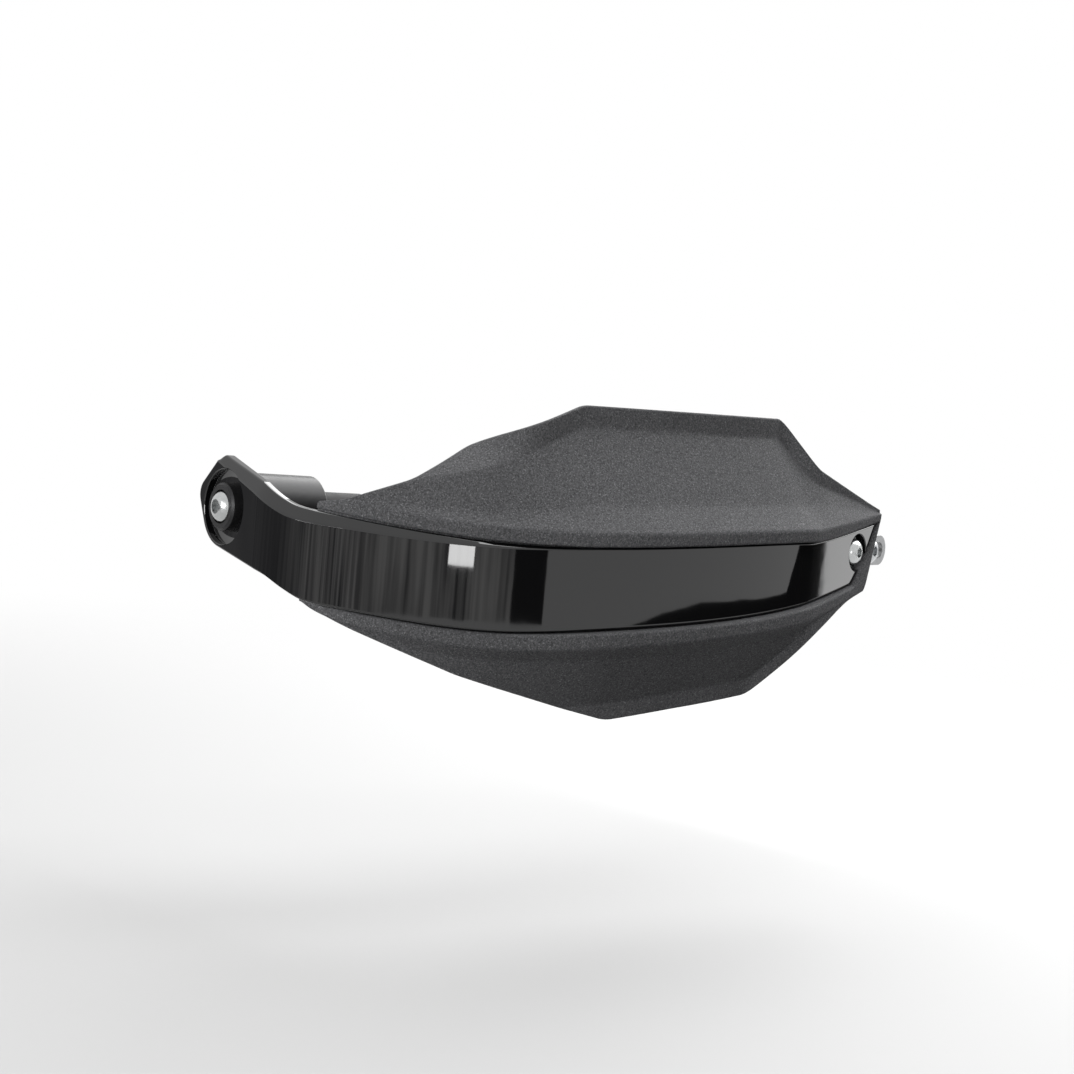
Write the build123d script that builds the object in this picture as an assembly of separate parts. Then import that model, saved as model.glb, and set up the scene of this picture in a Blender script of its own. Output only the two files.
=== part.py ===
"""Right-hand motorcycle hand guard, in millimetres.

The origin is on the handlebar's axis, at the tube's end face. +X runs inward along the handlebar, -Y is
the riding direction and +Z is up. A gloss band wraps from the bar end round the front of the hand to a
clamp on the handlebar. A grained shroud, with a channel for the band, is screwed to it from behind.
"""
from build123d import *
import math
import os

# Handlebar tube that the guard is fixed to
bar_diameter = 22.2
bar_bore_diameter = 18.0

# Slack in fits: through holes, threads (drawn plain), and the moulding seams
hole_slack = 0.25
thread_slack = 0.05
channel_gap = 0.8
floor_gap = 0.3
cut_margin = 1.0

# Bar-end weight and the rubber anchor that swells in the tube's bore
weight_length = 38.0
weight_diameter = 31.0
weight_chamfer = 1.5
anchor_slack = 0.3
rubber_length = 26.0
anchor_washer_thickness = 1.6
anchor_nut_length = 12.0
anchor_nut_taper = 2.0

# M8 button-head screws, their washers and flange nut
m8_diameter = 8.0
button_head_diameter = 14.0
button_head_height = 4.4
button_rim_height = 0.8
button_crown_diameter = 6.4
button_socket_width = 5.0
button_socket_depth = 2.6
m8_washer_diameter = 16.0
m8_washer_thickness = 1.6
nut_width = 13.0
nut_height = 8.0
nut_flange_diameter = 17.6
nut_flange_thickness = 1.8
thread_stick_out = 2.0

# Plan of the band's front face: the arm runs forward, then four tangent arcs lead to a straight facet
band_thickness = 7.0
arm_reach = 26.0
outer_bend_radius = 60.0
outer_bend_turn = 51.0
sweep_radius = 190.0
sweep_turn = 19.5
front_radius = 405.0
front_turn = 23.7
inner_bend_radius = 86.0
inner_bend_turn = 6.3
facet_run = 82.4

# Eye at the bar end: a round boss with a peak above and a heel behind, and a recess round the collar
eye_radius = 18.0
eye_heel_radius = 7.3
eye_heel_back = 14.0
eye_heel_height = 4.5
eye_peak_back = 5.0
eye_peak_height = 22.5
eye_recess_radius = 16.6
eye_recess_depth = 3.5
bush_radius = 6.0
collar_radius = 10.5
collar_height = 5.0
collar_chamfer = 1.0
collar_sink = 2.0
collar_head_slack = 0.4

# Heights of the band's front edges, from the arm to the inner end; the bevel lifts the back top edge
arm_top_slope = 0.36
bevel_rise = 5.0
bevel_run_back = 0.7
band_edge_chamfer = 1.0
top_at_arm = 8.0
top_into_bend = 2.6
top_in_bend = 0.2
top_after_bend = -1.9
top_lowest = -5.0
top_on_front = -3.1
top_at_inner_bend = 2.6
top_at_facet = 2.8
top_at_end = 15.4
bottom_at_arm = -23.5
bottom_near_arm = -25.8
bottom_into_bend = -29.7
bottom_in_bend = -33.4
bottom_after_bend = -35.2
bottom_lowest = -40.6
bottom_on_front = -38.6
bottom_at_inner_bend = -27.9
bottom_at_end = -10.5

# Inner end of the band, measured along the facet from its start
inner_screw_place = 48.9
inner_screw_height = -2.1
inner_recess_radius = 9.5
inner_recess_depth = 5.0
band_end_place = 55.9
band_end_height = -7.4
band_end_slant = 27.5
band_corner_slant = 45.0

# Shroud: wall, lips beside the channel (their height is what they add to the wall), and its faces' lean
wall_thickness = 2.8
wing_tip_wall = 0.9
wing_tip_lip = 0.5
lip_proud = 4.5
lip_proud_at_end = 1.2
upper_lip_height = 2.3
upper_lip_at_end = 0.3
lower_lip_height = 3.0
lower_lip_at_end = 1.3
wing_tip_lip_height = 0.1
wing_tip_slant = 9.0
upper_lean = 35.0
outer_upper_lean = 25.0
outer_rim_lean = 50.0
lower_lean = 38.0
lower_lean_at_end = 20.0
shroud_end_place = 71.5
shroud_end_height = 19.6
shroud_end_slant = 18.5
section_pitch = 10.0

# Heights of the shroud's free edges, from the wing tip to the inner end, and of the rims along them
wing_top = 7.7
wing_shoulder = 9.6
rim_start_height = 19.9
rim_bend_height = 35.5
crown_height = 58.0
crown_inner_height = 61.8
shoulder_height = 38.9
wing_bottom = -34.9
belly_height = -61.6
keel_start_height = -76.8
keel_height = -82.6
keel_inner_height = -72.3
keel_end_height = -46.2
lower_tip_height = -26.8
lower_end_height = -14.0
upper_rim_height = 10.0
lower_rim_height = 7.8
rim_fade = 0.4

# Screws that hold the shroud to the band
shroud_screw_radius = 2.0
shroud_screw_head_radius = 3.8
shroud_screw_head_height = 2.6
shroud_screw_cross_span = 4.2
shroud_screw_cross_width = 1.0
shroud_screw_cross_depth = 1.4
shroud_screw_head_chamfer = 0.7
shroud_screw_bite = 4.6
shroud_washer_radius = 4.8
shroud_washer_thickness = 0.8
shroud_seat_depth = 0.4
shroud_seat_slack = 0.5

# Inner bracket link, standoff post and handlebar clamp
link_width = 16.0
link_thickness = 4.0
link_inner_place = 95.8
link_slot_start = 68.4
post_place = 78.4
post_diameter = 16.0
clamp_wall = 6.0
clamp_width = 24.0
clamp_split = 1.0
clamp_boss_diameter = 18.0
clamp_boss_length = 8.0
clamp_thread_depth = 12.0
clamp_ear_depth = 10.0
clamp_ear_radius = 6.0
clamp_ear_round = 3.0
clamp_screw_diameter = 6.0
clamp_head_diameter = 10.0
clamp_head_height = 6.0
clamp_socket_width = 5.0
clamp_socket_depth = 3.0
clamp_screw_bite = 8.0

# Lengths of the plan's stretches, and the places where they start
outer_span = outer_bend_radius * math.radians(outer_bend_turn)
sweep_span = sweep_radius * math.radians(sweep_turn)
front_span = front_radius * math.radians(front_turn)
inner_span = inner_bend_radius * math.radians(inner_bend_turn)
sweep_start = outer_span
front_start = sweep_start + sweep_span
inner_bend_start = front_start + front_span
facet_start = inner_bend_start + inner_span
plan_end = facet_start + facet_run
arm_x = -weight_length - band_thickness
floor_depth = band_thickness + floor_gap
channel_back = floor_depth + wall_thickness

# Front edges of the band as (distance along the plan, height)
after_bend = 0.85 * outer_span
low_place = sweep_start + 0.88 * sweep_span
front_place = front_start + 0.281 * front_span
top_edge = [
    (0.0, top_at_arm),
    (0.26 * outer_span, top_into_bend),
    (0.41 * outer_span, top_in_bend),
    (after_bend, top_after_bend),
    (low_place, top_lowest),
    (front_place, top_on_front),
    (inner_bend_start, top_at_inner_bend),
    (facet_start, top_at_facet),
    (plan_end, top_at_end),
]
bottom_edge = [
    (0.0, bottom_at_arm),
    (0.19 * outer_span, bottom_near_arm),
    (0.37 * outer_span, bottom_into_bend),
    (0.56 * outer_span, bottom_in_bend),
    (after_bend, bottom_after_bend),
    (low_place, bottom_lowest),
    (front_place, bottom_on_front),
    (inner_bend_start, bottom_at_inner_bend),
    (plan_end, bottom_at_end),
]
bevel_heights = [(0.56 * outer_span, bevel_rise), (front_start + 0.194 * front_span, 0.0)]

# Free edges of the shroud as (distance along the plan, height), and how its section changes along it
wing_tip = 0.47 * outer_span
full_section = 0.9 * outer_span
rim_start = sweep_start + 0.31 * sweep_span
rim_bend = sweep_start + 0.726 * sweep_span
crown_start = front_start + 0.252 * front_span
crown_end = facet_start + 0.035 * facet_run
shoulder = facet_start + 0.217 * facet_run
upper_tip = facet_start + shroud_end_place
keel_start = front_start + 0.233 * front_span
keel_lowest = front_start + 0.382 * front_span
keel_inner = front_start + 0.902 * front_span
keel_end = facet_start
lower_tip = facet_start + 0.44 * facet_run
upper_outline = [
    (wing_tip, wing_top),
    (0.84 * outer_span, wing_shoulder),
    (rim_start, rim_start_height),
    (rim_bend, rim_bend_height),
    (crown_start, crown_height),
    (crown_end, crown_inner_height),
    (shoulder, shoulder_height),
    (upper_tip, shroud_end_height),
]
upper_rim = [
    (wing_tip, rim_fade),
    (rim_start, rim_fade),
    (rim_bend, upper_rim_height),
    (front_start, 1.14 * upper_rim_height),
    (crown_start, upper_rim_height),
    (crown_end, upper_rim_height),
    (shoulder, 0.83 * upper_rim_height),
    (upper_tip, rim_fade),
]
upper_lean_run = [
    (wing_tip, outer_upper_lean),
    (low_place, outer_upper_lean),
    (crown_start, upper_lean),
]
rim_lean_run = [
    (rim_start, outer_rim_lean),
    (low_place, outer_rim_lean),
    (front_start + 0.1 * front_span, 0.0),
]
lower_outline = [
    (wing_tip, wing_bottom),
    (rim_bend, belly_height),
    (keel_start, keel_start_height),
    (keel_lowest, keel_height),
    (keel_inner, keel_inner_height),
    (keel_end, keel_end_height),
    (lower_tip, lower_tip_height),
    (plan_end, lower_end_height),
]
lower_rim = [
    (wing_tip, rim_fade),
    (keel_start, rim_fade),
    (keel_lowest, lower_rim_height),
    (keel_inner, lower_rim_height),
    (keel_end, lower_rim_height),
    (lower_tip, rim_fade),
]
lower_lean_run = [
    (front_start + 0.611 * front_span, lower_lean),
    (facet_start + 0.061 * facet_run, 0.8 * lower_lean),
    (lower_tip, lower_lean_at_end),
]
lip_depth = [
    (wing_tip, band_thickness - wing_tip_lip),
    (rim_start, 0.35 * band_thickness),
    (low_place, 0.1 * band_thickness),
    (front_place, -lip_proud),
    (inner_bend_start, -lip_proud),
    (upper_tip, -lip_proud_at_end),
]
wall_run = [(wing_tip, wing_tip_wall), (full_section, wall_thickness)]
upper_lip = [
    (wing_tip, wing_tip_lip_height),
    (full_section, upper_lip_height),
    (shoulder, upper_lip_height),
    (upper_tip, upper_lip_at_end),
]
lower_lip = [
    (wing_tip, wing_tip_lip_height),
    (full_section, lower_lip_at_end),
    (front_start, lower_lip_height),
    (facet_start, lower_lip_height),
    (facet_start + 0.69 * facet_run, lower_lip_at_end),
]
shroud_screw_places = [
    0.9 * outer_span,
    low_place,
    front_start + 0.369 * front_span,
    front_start + 0.791 * front_span,
    facet_start + 0.206 * facet_run,
]


def level(points, place):
    """Straight lines between the points, and flat beyond the first and the last."""
    if place <= points[0][0]:
        return points[0][1]
    for (x0, y0), (x1, y1) in zip(points, points[1:]):
        if place <= x1:
            return y0 + (y1 - y0) * (place - x0) / (x1 - x0)
    return points[-1][1]


def flow(points, place):
    """A smooth line through the points: cubics whose slope at a point is the mean of its chords."""
    chords = [(y1 - y0) / (x1 - x0) for (x0, y0), (x1, y1) in zip(points, points[1:])]
    slopes = [chords[0]] + [(a + b) / 2 for a, b in zip(chords, chords[1:])] + [chords[-1]]
    spans = zip(points, points[1:], slopes, slopes[1:])
    for (x0, y0), (x1, y1), m0, m1 in spans:
        if place <= x1:
            break
    step = x1 - x0
    t = (place - x0) / step
    rise = t * t * (3 - 2 * t)
    return y0 + (y1 - y0) * rise + step * t * (1 - t) * (m0 * (1 - t) - m1 * t)


def spaced(marks, pitch):
    """The marks in order, less any just before the next, with even steps up to the pitch between them."""
    ordered = sorted(marks)
    kept = [mark for mark, after in zip(ordered, ordered[1:]) if after - mark > pitch / 8] + [ordered[-1]]
    places = [kept[0]]
    for start, end in zip(kept, kept[1:]):
        count = math.ceil((end - start) / pitch)
        places += [start + (end - start) * k / count for k in range(1, count + 1)]
    return places


def plan_curve(depth):
    """Edges of the plan at a depth behind the band's front face: tangent arcs, then the facet."""
    bends = [
        (outer_bend_radius, outer_bend_turn),
        (sweep_radius, sweep_turn),
        (front_radius, front_turn),
        (inner_bend_radius, inner_bend_turn),
    ]
    point = Vector(arm_x + depth, -arm_reach)
    heading = Vector(0, -1)
    edges = []
    for radius, turn in bends:
        edges.append(JernArc(point, heading, radius - depth, turn))
        point = edges[-1] @ 1
        heading = edges[-1] % 1
    edges.append(Line(point, point + heading * facet_run))
    return edges


front_line = Wire(plan_curve(0))


def station(place):
    """Section plane across the plan, or past its ends: X runs back from the band's face and Y runs up."""
    on_line = min(max(place, 0.0), plan_end)
    point = front_line.position_at(on_line, position_mode=PositionMode.LENGTH)
    along = front_line.tangent_at(on_line, position_mode=PositionMode.LENGTH)
    return Plane(origin=point + along * (place - on_line), x_dir=(-along.Y, along.X, 0), z_dir=along)


def inward_axis(place, height):
    """Frame of a hole through the band: Z runs back from the face, and X runs up."""
    section = station(place)
    return Plane(origin=section.origin + Vector(0, 0, height), x_dir=(0, 0, 1), z_dir=section.x_dir)


def plan_strip(front, back, low, high):
    """Upright wall along the plan between two depths and two heights."""
    outer = plan_curve(front)
    inner = plan_curve(back)
    ends = [Line(outer[0] @ 0, inner[0] @ 0), Line(outer[-1] @ 1, inner[-1] @ 1)]
    footprint = make_face(outer + inner + ends)
    return extrude(Pos(0, 0, low) * footprint, high - low)


def section_face(place, points):
    """Face on the section plane from (depth, height) points."""
    return station(place) * make_face(Polyline(*points, close=True))


def turned(profile):
    """Solid of revolution about Z from (radius, height) points."""
    return revolve(make_face(Polyline(*[(r, 0, h) for r, h in profile], close=True)), Axis.Z)


def tube(outer_radius, inner_radius, low, high):
    """Plain tube along Z."""
    return turned([(inner_radius, low), (outer_radius, low), (outer_radius, high), (inner_radius, high)])


def rod(radius, low, high):
    """Plain rod along Z."""
    return Pos(0, 0, low) * Cylinder(radius, high - low, align=(Align.CENTER, Align.CENTER, Align.MIN))


def hexagon(width, low, high):
    """Hexagonal prism along Z, by its width across flats."""
    flat = RegularPolygon(width / 2, 6, major_radius=False)
    return extrude(Pos(0, 0, low) * flat, high - low)


def button_screw(length):
    """M8 button-head screw along Z: the head ends at zero and the shank runs up."""
    head = button_head_diameter / 2
    rim = (head, 0, -button_rim_height)
    crown = (button_crown_diameter / 2, 0, -button_head_height)
    dome = (0.8 * head, 0, -button_rim_height - 0.68 * (button_head_height - button_rim_height))
    profile = [
        Line((0, 0, -button_head_height), crown),
        ThreePointArc(crown, dome, rim),
        Line(rim, (head, 0, 0)),
        Line((head, 0, 0), (0, 0, 0)),
        Line((0, 0, 0), (0, 0, -button_head_height)),
    ]
    screw = revolve(make_face(profile), Axis.Z) + rod(m8_diameter / 2, 0, length)
    socket_floor = button_socket_depth - button_head_height
    return screw - hexagon(button_socket_width, -button_head_height - cut_margin, socket_floor)


def cap_screw(length):
    """Socket cap screw of the clamp along Z: the head ends at zero and the shank runs up."""
    screw = rod(clamp_head_diameter / 2, -clamp_head_height, 0) + rod(clamp_screw_diameter / 2, 0, length)
    socket_floor = clamp_socket_depth - clamp_head_height
    return screw - hexagon(clamp_socket_width, -clamp_head_height - cut_margin, socket_floor)


def bevel(place):
    """How much the band's back top edge stands over the front one."""
    return level(bevel_heights, place)


def band_section(place):
    """Section of the band's height, deeper than the band: a chamfer below, and the steep bevel above."""
    bottom = flow(bottom_edge, place)
    rise = max(bevel(place), band_edge_chamfer)
    top = flow(top_edge, place) + bevel(place)
    front = -2 * band_edge_chamfer
    rear = band_thickness + 2 * band_edge_chamfer
    bevel_back = bevel_run_back * rise
    points = [
        (rear, bottom),
        (band_edge_chamfer, bottom),
        (front, bottom + band_edge_chamfer - front),
        (front, top - rise + front / bevel_run_back),
        (bevel_back, top),
        (rear, top),
    ]
    return section_face(place, points)


def channel_section(place):
    """Section of the shroud's channel: the band's height and a gap, open to the front."""
    roof = flow(top_edge, place) + bevel(place) + channel_gap
    sill = flow(bottom_edge, place) - channel_gap
    front = -2 * lip_proud
    return section_face(place, [(front, sill), (floor_depth, sill), (floor_depth, roof), (front, roof)])


def shroud_section(place):
    """Section of the shroud before its channel is cut: down the outer skin, then up the inner one."""
    wall = level(wall_run, place)
    lip = level(lip_depth, place)
    roof = flow(top_edge, place) + bevel(place) + channel_gap
    sill = flow(bottom_edge, place) - channel_gap
    upper_angle = math.radians(level(upper_lean_run, place))
    lower_angle = math.radians(level(lower_lean_run, place))
    rim_angle = math.radians(level(rim_lean_run, place))
    upper_miter = wall * math.tan(upper_angle / 2)
    rim_miter = wall / math.cos((upper_angle - rim_angle) / 2)
    miter_angle = (upper_angle + rim_angle) / 2
    lower_miter = wall * math.tan(lower_angle / 2)
    brow = roof + wall + upper_miter + level(upper_lip, place)
    chin = sill - wall - lower_miter - level(lower_lip, place)
    crown = max(level(upper_outline, place), brow + 2 * rim_fade)
    crease = crown - level(upper_rim, place)
    keel = min(level(lower_outline, place), chin - 2 * rim_fade)
    fold = keel + level(lower_rim, place)
    crease_depth = lip + (crease - brow) * math.tan(upper_angle)
    crown_depth = crease_depth + (crown - crease) * math.tan(rim_angle)
    fold_depth = lip + (chin - fold) * math.tan(lower_angle)
    back = floor_depth + wall
    outer = [
        (crown_depth, crown),
        (crease_depth, crease),
        (lip, brow),
        (lip, chin),
        (fold_depth, fold),
        (fold_depth, keel),
    ]
    inner = [
        (fold_depth + wall, keel),
        (fold_depth + wall, fold + lower_miter),
        (lip + wall, chin + lower_miter),
        (lip + wall, sill - wall),
        (back, sill - wall),
        (back, roof + wall),
        (lip + wall, roof + wall),
        (lip + wall, brow - upper_miter),
        (crease_depth + rim_miter * math.cos(miter_angle), crease - rim_miter * math.sin(miter_angle)),
        (crown_depth + wall / math.cos(rim_angle), crown),
    ]
    return section_face(place, outer + inner)


# Frame of the facet's face: X runs inward along it, Y runs up and Z runs forward
facet_section = station(facet_start)
facet_face = Plane(origin=facet_section.origin, x_dir=facet_section.z_dir, z_dir=-facet_section.x_dir)
reach = 4 * crown_height


def beyond_band_end(offset):
    """All that lies past the band's slanted inner end, moved inward along the facet by the offset."""
    corner = band_end_place + offset
    lean = math.tan(math.radians(band_end_slant))
    low = math.tan(math.radians(band_corner_slant))
    points = [
        (corner + reach * lean, band_end_height + reach),
        (corner, band_end_height),
        (corner - reach * low, band_end_height - reach),
        (corner + 2 * reach, band_end_height - reach),
        (corner + 2 * reach, band_end_height + reach),
    ]
    return extrude(facet_face * make_face(Polyline(*points, close=True)), reach, both=True)


# Centre band: the arm plate with its eye, then the curved front run cut to its top and bottom edges
arm_top = top_edge[0][1]
arm_bottom = bottom_edge[0][1]
eye_outline = make_hull(
    [
        *Circle(eye_radius).edges(),
        *(Pos(eye_heel_back, eye_heel_height) * Circle(eye_heel_radius)).edges(),
        Line((eye_peak_back, eye_peak_height), (-arm_reach, arm_top + bevel_rise)),
        Line((-arm_reach, arm_top + bevel_rise), (-arm_reach, arm_bottom)),
    ]
)
arm = extrude(Plane.YZ.offset(arm_x) * eye_outline, band_thickness)
front_edges = arm.faces().sort_by(Axis.X)[0].edges().sort_by(Axis.Y)[1:]
arm = chamfer(front_edges, band_edge_chamfer)
peak_slope = (eye_peak_height - arm_top - bevel_rise) / (eye_peak_back + arm_reach)
bevel_faces = []
for run in (0.0, arm_reach + 2 * eye_radius):
    front_height = arm_top + arm_top_slope * run
    back_height = arm_top + bevel_rise + peak_slope * run
    bevel_depth = bevel_run_back * bevel_rise
    overrun = (back_height - front_height) / bevel_depth * band_edge_chamfer
    outline = Polyline(
        (arm_x - band_edge_chamfer, run - arm_reach, front_height - overrun),
        (arm_x + bevel_depth + band_edge_chamfer, run - arm_reach, back_height + overrun),
        (arm_x + bevel_depth + band_edge_chamfer, run - arm_reach, 2 * reach),
        (arm_x - band_edge_chamfer, run - arm_reach, 2 * reach),
        close=True,
    )
    bevel_faces.append(make_face(outline))
arm -= loft(bevel_faces, ruled=True)
edge_marks = [place for place, _ in top_edge + bottom_edge + bevel_heights]
band_places = spaced([*edge_marks, -section_pitch, plan_end + section_pitch], section_pitch)
front_blank = plan_strip(0, band_thickness, 2 * keel_height, 2 * crown_height)
front_run = front_blank & loft([band_section(place) for place in band_places], ruled=True)
centre_band = arm + (front_run - beyond_band_end(0))

eye_frame = Plane.YZ.offset(arm_x)
centre_band -= eye_frame * rod(eye_recess_radius, -band_thickness, eye_recess_depth)
centre_band -= eye_frame * rod(bush_radius + thread_slack, 0, 2 * band_thickness)
inner_axis = inward_axis(facet_start + inner_screw_place, inner_screw_height)
m8_hole = m8_diameter / 2 + hole_slack
centre_band -= inner_axis * rod(inner_recess_radius, -band_thickness, inner_recess_depth)
centre_band -= inner_axis * rod(m8_hole, 0, 2 * band_thickness)


def band_middle(place):
    """Height halfway up the band."""
    return (flow(top_edge, place) + flow(bottom_edge, place)) / 2


screw_axes = [inward_axis(place, band_middle(place)) for place in shroud_screw_places]
pilot = rod(shroud_screw_radius + thread_slack, band_thickness - shroud_screw_bite, 2 * band_thickness)
for axis in screw_axes:
    centre_band -= axis * pilot

# Shroud: straight walls between its sections, then the channel, the slanted end and the screw holes
outlines = upper_outline + upper_rim + rim_lean_run + lower_outline + lower_rim + lip_depth + wall_run
shroud_places = spaced([place for place, _ in outlines] + [plan_end], section_pitch)
shroud = loft([shroud_section(place) for place in shroud_places], ruled=True)
channel_places = [wing_tip - section_pitch, *shroud_places, plan_end + section_pitch]
channel = loft([channel_section(place) for place in channel_places], ruled=True)
shroud -= channel - beyond_band_end(channel_gap)
end_lean = math.tan(math.radians(shroud_end_slant))
end_points = [
    (shroud_end_place + reach * end_lean, shroud_end_height + reach),
    (shroud_end_place - reach * end_lean, shroud_end_height - reach),
    (shroud_end_place + 2 * reach, shroud_end_height - reach),
    (shroud_end_place + 2 * reach, shroud_end_height + reach),
]
shroud -= extrude(facet_face * make_face(Polyline(*end_points, close=True)), reach, both=True)
before_tip = Box(reach, reach, reach, align=(Align.CENTER, Align.CENTER, Align.MAX))
shroud -= station(wing_tip) * (Pos(0, wing_bottom, 0) * (Rot(wing_tip_slant, 0, 0) * before_tip))
shroud -= inner_axis * rod(m8_hole, band_thickness, channel_back + wall_thickness)
for place, axis in zip(shroud_screw_places, screw_axes):
    skin = floor_depth + level(wall_run, place)
    shroud -= axis * rod(shroud_screw_radius + hole_slack, band_thickness, skin + wall_thickness)
    seat_radius = shroud_washer_radius + shroud_seat_slack
    shroud -= axis * rod(seat_radius, skin - shroud_seat_depth, skin + wall_thickness)

# Screws and washers behind the shroud
cross_slots = [
    (shroud_screw_cross_span, shroud_screw_cross_width),
    (shroud_screw_cross_width, shroud_screw_cross_span),
]
shroud_screws = []
shroud_washers = []
for place, axis in zip(shroud_screw_places, screw_axes):
    seat = floor_depth + level(wall_run, place) - shroud_seat_depth
    under_head = seat + shroud_washer_thickness
    head_top = under_head + shroud_screw_head_height
    tip = band_thickness - shroud_screw_bite + floor_gap
    profile = [
        (0, tip),
        (shroud_screw_radius, tip),
        (shroud_screw_radius, under_head),
        (shroud_screw_head_radius, under_head),
        (shroud_screw_head_radius, head_top - shroud_screw_head_chamfer),
        (shroud_screw_head_radius - shroud_screw_head_chamfer, head_top),
        (0, head_top),
    ]
    screw = turned(profile)
    for span, width in cross_slots:
        screw -= Pos(0, 0, head_top) * Box(span, width, 2 * shroud_screw_cross_depth)
    washer = tube(shroud_washer_radius, shroud_screw_radius + hole_slack, seat, under_head)
    shroud_screws.append(axis * screw)
    shroud_washers.append(axis * washer)

# Bar-end stack along the handlebar's axis: collar, bush, weight, rubber anchor and the bolt through them
bar_axis = Plane.YZ
recess_floor = arm_x + eye_recess_depth
collar_face = recess_floor - collar_height
bolt_seat = collar_face + collar_sink
head_well = button_head_diameter / 2 + collar_head_slack
collar_profile = [
    (m8_hole, recess_floor),
    (collar_radius, recess_floor),
    (collar_radius, collar_face + collar_chamfer),
    (collar_radius - collar_chamfer, collar_face),
    (head_well, collar_face),
    (head_well, bolt_seat),
    (m8_hole, bolt_seat),
]
bar_end_collar = bar_axis * turned(collar_profile)
eye_bush = bar_axis * tube(bush_radius, m8_hole, recess_floor, -weight_length)
weight_radius = weight_diameter / 2
weight_profile = [
    (m8_hole, -weight_length),
    (weight_radius - weight_chamfer, -weight_length),
    (weight_radius, -weight_length + weight_chamfer),
    (weight_radius, -weight_chamfer),
    (weight_radius - weight_chamfer, 0),
    (m8_hole, 0),
]
bar_end_weight = bar_axis * turned(weight_profile)
anchor_radius = bar_bore_diameter / 2 - anchor_slack
washer_end = rubber_length + anchor_washer_thickness
anchor_end = washer_end + anchor_nut_length
anchor_rubber = bar_axis * tube(anchor_radius, m8_hole, 0, rubber_length)
anchor_washer = bar_axis * tube(anchor_radius, m8_hole, rubber_length, washer_end)
nut_bore = m8_diameter / 2 + thread_slack
anchor_nut_profile = [
    (nut_bore, washer_end),
    (anchor_radius, washer_end),
    (anchor_radius, anchor_end - anchor_nut_taper),
    (anchor_radius - anchor_nut_taper, anchor_end),
    (nut_bore, anchor_end),
]
anchor_nut = bar_axis * turned(anchor_nut_profile)
bar_end_bolt = bar_axis.offset(bolt_seat) * button_screw(anchor_end + thread_stick_out - bolt_seat)

# Inner end: screw, washer, slotted link and flange nut, square to the facet
washer_face = inner_recess_depth - m8_washer_thickness
link_back = channel_back + link_thickness
nut_end = link_back + nut_height
inner_screw_washer = inner_axis * tube(m8_washer_diameter / 2, m8_hole, washer_face, inner_recess_depth)
inner_screw = inner_axis.offset(washer_face) * button_screw(nut_end + thread_stick_out - washer_face)
flange = rod(nut_flange_diameter / 2, link_back, link_back + nut_flange_thickness)
nut_blank = flange + hexagon(nut_width, link_back, nut_end)
inner_nut = inner_axis * (nut_blank - rod(nut_bore, link_back - cut_margin, nut_end + cut_margin))
link_round = Circle(link_width / 2)
link_outline = make_hull(
    [
        *(Pos(inner_screw_place, inner_screw_height) * link_round).edges(),
        *(Pos(link_inner_place, inner_screw_height) * link_round).edges(),
    ]
)
slot_round = Circle(m8_hole)
slot = make_hull(
    [
        *(Pos(link_slot_start, inner_screw_height) * slot_round).edges(),
        *(Pos(link_inner_place, inner_screw_height) * slot_round).edges(),
    ]
)
link_outline -= slot
link_outline -= Pos(inner_screw_place, inner_screw_height) * slot_round
inner_bracket = extrude(facet_face.offset(-link_back) * link_outline, link_thickness)

# Standoff post from the link to the handlebar, square to the facet
post_axis = inward_axis(facet_start + post_place, inner_screw_height)
bar_depth = -post_axis.origin.Y / post_axis.z_dir.Y
clamp_x = post_axis.origin.X + post_axis.z_dir.X * bar_depth
clamp_radius = bar_diameter / 2 + clamp_wall
boss_face = bar_depth - clamp_radius - clamp_boss_length
head_seat = channel_back - m8_washer_thickness
thread_end = boss_face + clamp_thread_depth
standoff_tube = post_axis * tube(post_diameter / 2, m8_hole, link_back, boss_face)
standoff_washer = post_axis * tube(m8_washer_diameter / 2, m8_hole, head_seat, channel_back)
standoff_bolt = post_axis.offset(head_seat) * button_screw(thread_end - thread_stick_out - head_seat)

# Split clamp on the handlebar: the front half carries the boss, and two screws draw the rear half to it
clamp_axis = Plane.YZ.offset(clamp_x - clamp_width / 2)
ear_height = clamp_radius + clamp_ear_radius
ear_edge = ear_height + clamp_ear_radius
ring = clamp_axis * rod(clamp_radius, 0, clamp_width)
ear_outline = RectangleRounded(2 * clamp_ear_depth, 2 * ear_edge, clamp_ear_round)
ears = extrude(clamp_axis * ear_outline, clamp_width)
boss = post_axis * rod(clamp_boss_diameter / 2, boss_face, bar_depth)
bore = clamp_axis * rod(bar_diameter / 2, -clamp_width, 2 * clamp_width)
half = Box(2 * reach, reach, 2 * reach, align=(Align.CENTER, Align.MIN, Align.CENTER))
rear_side = Pos(clamp_x, clamp_split / 2, 0) * half
front_side = Pos(clamp_x, -clamp_split / 2, 0) * (Rot(0, 0, 180) * half)
clamp_block = ring + ears
clamp_body = ((clamp_block & front_side) + (boss & front_side)) - bore
clamp_body -= post_axis * rod(nut_bore, boss_face - cut_margin, thread_end)
clamp_cap = (clamp_block & rear_side) - bore
clamp_screws = []
for side in (1, -1):
    seat = Plane(origin=(clamp_x, clamp_ear_depth, side * ear_height), z_dir=(0, -1, 0))
    bite_end = clamp_ear_depth + clamp_split / 2 + clamp_screw_bite
    clamp_cap -= seat * rod(clamp_screw_diameter / 2 + hole_slack, -cut_margin, clamp_ear_depth)
    clamp_body -= seat * rod(clamp_screw_diameter / 2 + thread_slack, 0, bite_end + thread_slack)
    clamp_screws.append(seat * cap_screw(bite_end))

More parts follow.
